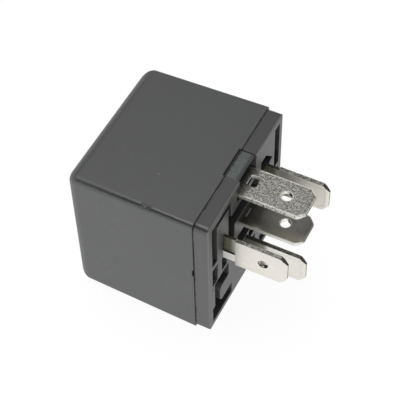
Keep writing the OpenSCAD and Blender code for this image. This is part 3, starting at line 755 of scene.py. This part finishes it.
class RELAY_PG_metal(bpy.types.PropertyGroup):
    """Colours and sizes of the blades, the magnet and the contacts"""
    plate_colour: bpy.props.FloatVectorProperty(
        name="Plate colour", description="Colour of the blades' tin plate",
        subtype="COLOR", size=3, default=(0.84, 0.81, 0.75), min=0.0, max=1.0)
    cut_colour: bpy.props.FloatVectorProperty(
        name="Cut colour", description="Light specks of the blades' cut edges",
        subtype="COLOR", size=3, default=(0.36, 0.35, 0.33), min=0.0, max=1.0)
    cut_shade: bpy.props.FloatVectorProperty(
        name="Cut shade", description="Dark specks of the blades' cut edges",
        subtype="COLOR", size=3, default=(0.12, 0.12, 0.105), min=0.0, max=1.0)
    # Bright metal of burrs and scratches, also used for painted highlights
    burr_and_highlight_colour: bpy.props.FloatVectorProperty(
        name="Burr and highlight colour", description="Colour of burrs and of the walls of holes",
        subtype="COLOR", size=3, default=(0.9, 0.88, 0.83), min=0.0, max=1.0)
    # Colour of the painted shade on the blades' roots
    root_shade_colour: bpy.props.FloatVectorProperty(
        name="Root shade colour", description="Colour of the coil blades' thinned root",
        subtype="COLOR", size=3, default=(0.07, 0.07, 0.05), min=0.0, max=1.0)
    dull_colour: bpy.props.FloatVectorProperty(
        name="Dull colour", description="Colour of blade 87's dull plate",
        subtype="COLOR", size=3, default=(0.5, 0.49, 0.455), min=0.0, max=1.0)
    pit_colour: bpy.props.FloatVectorProperty(
        name="Pit colour", description="Colour of the pits in blade 87's plate",
        subtype="COLOR", size=3, default=(0.12, 0.12, 0.11), min=0.0, max=1.0)
    dark_colour: bpy.props.FloatVectorProperty(
        name="Dark colour", description="Colour of blade 87a's dark plate",
        subtype="COLOR", size=3, default=(0.27, 0.263, 0.24), min=0.0, max=1.0)
    dark_shade: bpy.props.FloatVectorProperty(
        name="Dark shade", description="Colour of the pits in blade 87a's plate",
        subtype="COLOR", size=3, default=(0.2, 0.195, 0.175), min=0.0, max=1.0)
    blade_edge: bpy.props.FloatProperty(
        name="Blade edge", description="Rounding of the blades' sharp edges",
        unit="LENGTH", default=0.06 * MM)
    blade_width: bpy.props.FloatProperty(
        name="Blade width", description="Width of each blade", unit="LENGTH", default=6.3 * MM)
    blade_length: bpy.props.FloatProperty(
        name="Blade length", description="Length of each blade beyond the base",
        unit="LENGTH", default=11.4 * MM)
    tip_corner: bpy.props.FloatProperty(
        name="Tip corner", description="Chamfer of the tips' corners",
        unit="LENGTH", default=1.2 * MM)
    tip_round: bpy.props.FloatProperty(
        name="Tip rounding", description="Rounding of the tip corners before they are squared up",
        unit="LENGTH", default=0.9 * MM)
    coin_inset: bpy.props.FloatProperty(
        name="Coin inset", description="Distance of the coined line from the blade's outline",
        unit="LENGTH", default=0.8 * MM)
    hole_back: bpy.props.FloatProperty(
        name="Hole distance", description="Distance of the locking hole from the tip",
        unit="LENGTH", default=4.3 * MM)
    hole_width: bpy.props.FloatProperty(
        name="Hole width", description="Diameter of the locking hole",
        unit="LENGTH", default=1.8 * MM)
    root_length: bpy.props.FloatProperty(
        name="Root length", description="Length of the coil blades' thinned root",
        unit="LENGTH", default=2.1 * MM)
    window_side: bpy.props.FloatProperty(
        name="Window side", description="Distance of the lance window from the blade's sides",
        unit="LENGTH", default=1 * MM)
    window_end: bpy.props.FloatProperty(
        name="Window end", description="How far from the base the lance window reaches",
        unit="LENGTH", default=4 * MM)
    scratch_place: bpy.props.FloatProperty(
        name="Scratch place", description="Distance of blade 87a's scratch from the base",
        unit="LENGTH", default=0.65 * MM)
    scratch_side: bpy.props.FloatProperty(
        name="Scratch side", description="Distance of the scratch's middle from the blade's middle",
        unit="LENGTH", default=-0.7 * MM)
    scratch_length: bpy.props.FloatProperty(
        name="Scratch length", description="Length of blade 87a's scratch",
        unit="LENGTH", default=1.8 * MM)
    steel_colour: bpy.props.FloatVectorProperty(
        name="Steel colour", description="Colour of the magnet's plated steel",
        subtype="COLOR", size=3, default=(0.56, 0.57, 0.58), min=0.0, max=1.0)
    silver_colour: bpy.props.FloatVectorProperty(
        name="Silver colour", description="Colour of the contacts",
        subtype="COLOR", size=3, default=(0.82, 0.82, 0.8), min=0.0, max=1.0)
    bronze_colour: bpy.props.FloatVectorProperty(
        name="Bronze colour", description="Colour of the contact spring",
        subtype="COLOR", size=3, default=(0.72, 0.45, 0.25), min=0.0, max=1.0)
    contact_edge: bpy.props.FloatProperty(
        name="Contact edge", description="Rounding of the fixed contacts' edges",
        unit="LENGTH", default=0.03 * MM)
    loop_start: bpy.props.FloatProperty(
        name="Loop start", description="Place along the relay where the spring's loop leaves the yoke",
        unit="LENGTH", default=-11.8 * MM)
    loop_end: bpy.props.FloatProperty(
        name="Loop end", description="Place along the relay where the loop meets the spring's arm",
        unit="LENGTH", default=-13.9 * MM)


class RELAY_PG_coil(bpy.types.PropertyGroup):
    """Colours of the coil and the resistor"""
    copper_colour: bpy.props.FloatVectorProperty(
        name="Copper colour", description="Colour of the enamelled wire",
        subtype="COLOR", size=3, default=(0.62, 0.27, 0.12), min=0.0, max=1.0)
    nylon_colour: bpy.props.FloatVectorProperty(
        name="Nylon colour", description="Colour of the bobbin",
        subtype="COLOR", size=3, default=(0.8, 0.77, 0.7), min=0.0, max=1.0)
    lacquer_colour: bpy.props.FloatVectorProperty(
        name="Lacquer colour", description="Colour of the resistor",
        subtype="COLOR", size=3, default=(0.35, 0.5, 0.62), min=0.0, max=1.0)
    tinned_colour: bpy.props.FloatVectorProperty(
        name="Tinned colour", description="Colour of the resistor's tinned wires",
        subtype="COLOR", size=3, default=(0.75, 0.75, 0.74), min=0.0, max=1.0)


class RELAY_PG_stage(bpy.types.PropertyGroup):
    """Camera, floor and light"""
    focal_length: bpy.props.FloatProperty(
        name="Focal length", description="Focal length of the camera in millimetres",
        default=114.6, min=20.0, max=300.0)
    floor_size: bpy.props.FloatProperty(
        name="Floor size", description="Side of the pale floor", unit="LENGTH", default=6.0)
    horizon_level: bpy.props.FloatProperty(
        name="Horizon level", description="Brightness at the horizon", default=1.0, min=0.0, max=2.0)
    sky_level: bpy.props.FloatProperty(
        name="Sky level", description="Brightness of the sky", default=0.33, min=0.0, max=2.0)
    room_level: bpy.props.FloatProperty(
        name="Room level", description="Brightness of the room behind the camera", default=0.1,
        min=0.0, max=2.0)
    lamp_size: bpy.props.FloatProperty(
        name="Lamp size", description="Side of the overhead lamp", unit="LENGTH", default=0.5)
    lamp_power: bpy.props.FloatProperty(
        name="Lamp power", description="Power of the overhead lamp", unit="POWER", default=1.6)
    front_size: bpy.props.FloatProperty(
        name="Front size", description="Width of the low lamp in front", unit="LENGTH", default=1.8)
    front_power: bpy.props.FloatProperty(
        name="Front power", description="Power of the low lamp in front", unit="POWER", default=8.0)


class RELAY_OT_cover(bpy.types.Operator):
    """Makes the cover with its rounded mouth and grained plastic"""
    bl_idname = "relay.cover"
    bl_label = "Cover"

    def execute(self, context):
        look = context.scene.relay_housing
        piece = softened("cover", look.cover_edge, sharpest=40.0)
        dress(piece, cover_plastic(look))
        return {"FINISHED"}


class RELAY_OT_base(bpy.types.Operator):
    """Makes the base with its rounded ribs and pockets"""
    bl_idname = "relay.base"
    bl_label = "Base"

    def execute(self, context):
        look = context.scene.relay_housing
        face = BASE_HIGH[0]
        low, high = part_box("terminal_86")
        well = [(face - look.well_depth, low[1] - WELL_NEAR, low[2] - look.well_height),
                (face + look.well_depth, high[1] + WELL_FAR, low[2] + WELL_OVERLAP)]
        piece = softened("base", look.base_edge, reshape=partial(round_rim, look=look),
                         pockets=[well])
        dress(piece, base_plastic(look))
        return {"FINISHED"}


class RELAY_OT_blades(bpy.types.Operator):
    """Makes the five blades, each with the plating it has"""
    bl_idname = "relay.blades"
    bl_label = "Blades"

    def execute(self, context):
        look = context.scene.relay_metal
        satin = dict(upright=True, tone=look.plate_colour, shade=tint(look.plate_colour, 0.85),
                     grain=0.2, rough=0.3, band=0.3)
        kinds = {
            "terminal_30": ("tinned_metal", dict(satin, root=shaded_root, coined=1.0)),
            "terminal_85": ("tinned_metal", dict(satin, root=stepped_root, coined=1.0)),
            "terminal_86": ("tinned_metal", dict(satin, root=stepped_root)),
            "terminal_87": ("dull_metal", dict(
                upright=False, tone=look.dull_colour, shade=look.pit_colour, grain=1.0, rough=0.32,
                band=0.8, root=lanced_root)),
            "terminal_87a": ("dark_metal", dict(
                upright=False, tone=look.dark_colour, shade=look.dark_shade, grain=0.25, rough=0.13,
                band=0.45, root=scratched_root, smooth=True)),
        }
        for node, (slot, finish) in kinds.items():
            reshape = partial(square_up, node=node, look=look, upright=finish["upright"])
            # The tip corners of blade 87a stay round
            if node == "terminal_87a":
                reshape = None
            piece = softened(node, look.blade_edge, sharpest=25.0, reshape=reshape)
            dress(piece, blade_finish(look, node, **finish))
        return {"FINISHED"}


class RELAY_OT_magnet(bpy.types.Operator):
    """Finishes the yoke, core, armature and their rivets"""
    bl_idname = "relay.magnet"
    bl_label = "Magnet"

    def execute(self, context):
        look = context.scene.relay_metal
        steel = inner_metal("plated_steel", look.steel_colour)
        rivet = inner_metal("rivet_steel", tint(look.steel_colour, 1.15), 0.3)
        for node in ("yoke", "core", "armature"):
            dress_node(node, steel)
        for node in ("armature_rivets", "spring_rivets"):
            dress_node(node, rivet)
        return {"FINISHED"}


class RELAY_OT_coil(bpy.types.Operator):
    """Finishes the bobbin, the winding, its ends and the resistor"""
    bl_idname = "relay.coil"
    bl_label = "Coil"

    def execute(self, context):
        look = context.scene.relay_coil
        dress_node("bobbin", moulded_nylon("bobbin_nylon", look.nylon_colour))
        dress_node("winding", wound_copper("winding_copper", look.copper_colour))
        wire = inner_metal("lead_copper", look.copper_colour, 0.25)
        for node in ("coil_lead_85", "coil_lead_86"):
            dress_node(node, wire)
        dress_node("resistor", lacquer("resistor_lacquer", look.lacquer_colour))
        tinned = inner_metal("resistor_wire", look.tinned_colour, 0.25)
        for node in ("resistor_lead_85", "resistor_lead_86"):
            dress_node(node, tinned)
        return {"FINISHED"}


class RELAY_OT_contacts(bpy.types.Operator):
    """Finishes the contacts and the contact spring"""
    bl_idname = "relay.contacts"
    bl_label = "Contacts"

    def execute(self, context):
        look = context.scene.relay_metal
        silver = inner_metal("contact_silver", look.silver_colour, 0.22)
        dress_node("moving_contact", silver)
        for node in ("contact_no", "contact_nc"):
            contact = softened(node, look.contact_edge, sharpest=40.0)
            dress(contact, silver)
        spring = bending_spring()
        dress(spring, inner_metal("spring_bronze", look.bronze_colour, 0.3))
        return {"FINISHED"}


# ----------------------------------------------------------------------- stage

CAMERA_PLACE = (0.06244, -0.11886, 0.18504)
CAMERA_RIGHT = (0.8913, 0.4531, -0.018)
CAMERA_UP = (-0.3444, 0.7022, 0.6231)
OVERHEAD_PLACE = (-0.14, 0.06, 0.6)
FRONT_PLACE = (-0.02, -0.9, 0.15)
FRONT_SHAPE = 0.2
FLOOR_DROP = 0.02 * MM
# The floor's grey in its own light, the grey that takes the shadow, and its glow
FLOOR_GREY = 0.8
SHADOW_GREY = 0.11
FLOOR_GLOW = 0.93
# The way to the dark room behind the camera, and where the sky turns into it and into the horizon
ROOM_WAY = (-0.28, -0.76, 0.58)
ROOM_BAND = (0.62, 0.86)
HORIZON_BAND = (0.34, 0.18)


def set_camera(look):
    data = bpy.data.cameras.new("camera")
    data.lens = look.focal_length
    data.sensor_width = 36.0
    data.clip_start = 0.01
    data.clip_end = 50.0
    camera = bpy.data.objects.new("camera", data)
    right = Vector(CAMERA_RIGHT).normalized()
    up = Vector(CAMERA_UP)
    up = (up - right * up.dot(right)).normalized()
    back = right.cross(up)
    turn = Matrix((right, up, back)).transposed().to_4x4()
    camera.matrix_world = Matrix.Translation(CAMERA_PLACE) @ turn
    bpy.context.scene.collection.objects.link(camera)
    bpy.context.scene.camera = camera


def direct_rays(f):
    """The light path's marks of rays from the camera, from gloss and through glass."""
    rays = f.others(f.node("LightPath"))
    return rays["Is Camera Ray"], rays["Is Glossy Ray"], rays["Is Transmission Ray"]


def floor_finish():
    """White floor that keeps a faint shadow."""
    f = Finish("floor_white")
    camera, glossy, glass = direct_rays(f)
    plain = f.node("BsdfDiffuse", inputs={"Color": grey(FLOOR_GREY)})
    faint = f.node("BsdfDiffuse", inputs={"Color": grey(SHADOW_GREY)})
    glow = f.node("Emission", inputs={"Color": grey(1.0), "Strength": FLOOR_GLOW})
    shown = f.node("AddShader", inputs=[faint, glow])
    f.end("Material", f.node("MixShader", inputs=[camera.most(glossy).most(glass), plain, shown]))
    return f.material


def set_world(look):
    """White towards the horizon, a soft sky above and a dark room behind the camera."""
    world = bpy.data.worlds.new("studio")
    bpy.context.scene.world = world
    world.use_nodes = True
    f = Nodes(world.node_tree)
    way = f.node("TexCoord", output="Generated")
    height = f.parts(way)[2]
    front = f.vector("DOT_PRODUCT", way, ROOM_WAY, output=1)
    sky = f.step(front, *ROOM_BAND, look.sky_level, look.room_level)
    level = sky + f.step(height, *HORIZON_BAND) * (look.horizon_level - sky)
    camera = direct_rays(f)[0]
    shade = f.node("Background", inputs={"Color": grey(1.0), "Strength": level})
    white = f.node("Background", inputs={"Color": grey(1.0), "Strength": 1.0})
    f.end("World", f.node("MixShader", inputs=[camera, shade, white]))


def add_lamp(name, place, target, size, power, share=1.0, mirrored=True):
    """Adds a soft lamp, its height a share of its width, mirrored by glossy faces or not."""
    data = bpy.data.lights.new(name, "AREA")
    data.shape = "RECTANGLE"
    data.size = size
    data.size_y = size * share
    data.energy = power
    lamp = bpy.data.objects.new(name, data)
    lamp.visible_glossy = mirrored
    aim = Vector(target) - Vector(place)
    lamp.matrix_world = (Matrix.Translation(place)
                         @ aim.to_track_quat("-Z", "Y").to_matrix().to_4x4())
    bpy.context.scene.collection.objects.link(lamp)


class RELAY_OT_stage(bpy.types.Operator):
    """Sets the camera, the white floor and the soft light"""
    bl_idname = "relay.stage"
    bl_label = "Stage"

    def execute(self, context):
        look = context.scene.relay_stage
        set_camera(look)
        half = look.floor_size / 2
        mesh = bpy.data.meshes.new("floor")
        corners = [(-half, -half), (half, -half), (half, half), (-half, half)]
        mesh.from_pydata([(x, y, -FLOOR_DROP) for x, y in corners], [], [(0, 1, 2, 3)])
        floor = bpy.data.objects.new("floor", mesh)
        mesh.materials.append(floor_finish())
        context.scene.collection.objects.link(floor)
        set_world(look)
        middle = (0.0, 0.0, MIDDLE)
        add_lamp("overhead_lamp", OVERHEAD_PLACE, middle, look.lamp_size, look.lamp_power)
        add_lamp("front_lamp", FRONT_PLACE, middle, look.front_size, look.front_power, FRONT_SHAPE,
                 mirrored=False)
        context.scene.view_settings.view_transform = "Standard"
        return {"FINISHED"}


class RELAY_PT_panel(bpy.types.Panel):
    """Lists the relay's pieces and its stage"""
    bl_idname = "RELAY_PT_panel"
    bl_label = "Relay"
    bl_space_type = "VIEW_3D"
    bl_region_type = "UI"
    bl_category = "Relay"

    def draw(self, context):
        for group in SETTINGS:
            values = getattr(context.scene, group)
            for name in values.__annotations__:
                self.layout.prop(values, name)
        for operator in OPERATORS:
            self.layout.operator(operator.bl_idname)


SETTINGS = {
    "relay_housing": RELAY_PG_housing,
    "relay_metal": RELAY_PG_metal,
    "relay_coil": RELAY_PG_coil,
    "relay_stage": RELAY_PG_stage,
}
OPERATORS = [RELAY_OT_stage, RELAY_OT_cover, RELAY_OT_base, RELAY_OT_blades,
             RELAY_OT_magnet, RELAY_OT_coil, RELAY_OT_contacts]


def register():
    for name, group in SETTINGS.items():
        bpy.utils.register_class(group)
        setattr(bpy.types.Scene, name, bpy.props.PointerProperty(type=group))
    for cls in [*OPERATORS, RELAY_PT_panel]:
        bpy.utils.register_class(cls)


def unregister():
    for cls in reversed([*OPERATORS, RELAY_PT_panel]):
        bpy.utils.unregister_class(cls)
    for name, group in SETTINGS.items():
        delattr(bpy.types.Scene, name)
        bpy.utils.unregister_class(group)


def main():
    register()
    bpy.ops.relay.stage()
    bpy.ops.relay.cover()
    bpy.ops.relay.base()
    bpy.ops.relay.blades()
    bpy.ops.relay.magnet()
    bpy.ops.relay.coil()
    bpy.ops.relay.contacts()


if __name__ == "__main__":
    main()
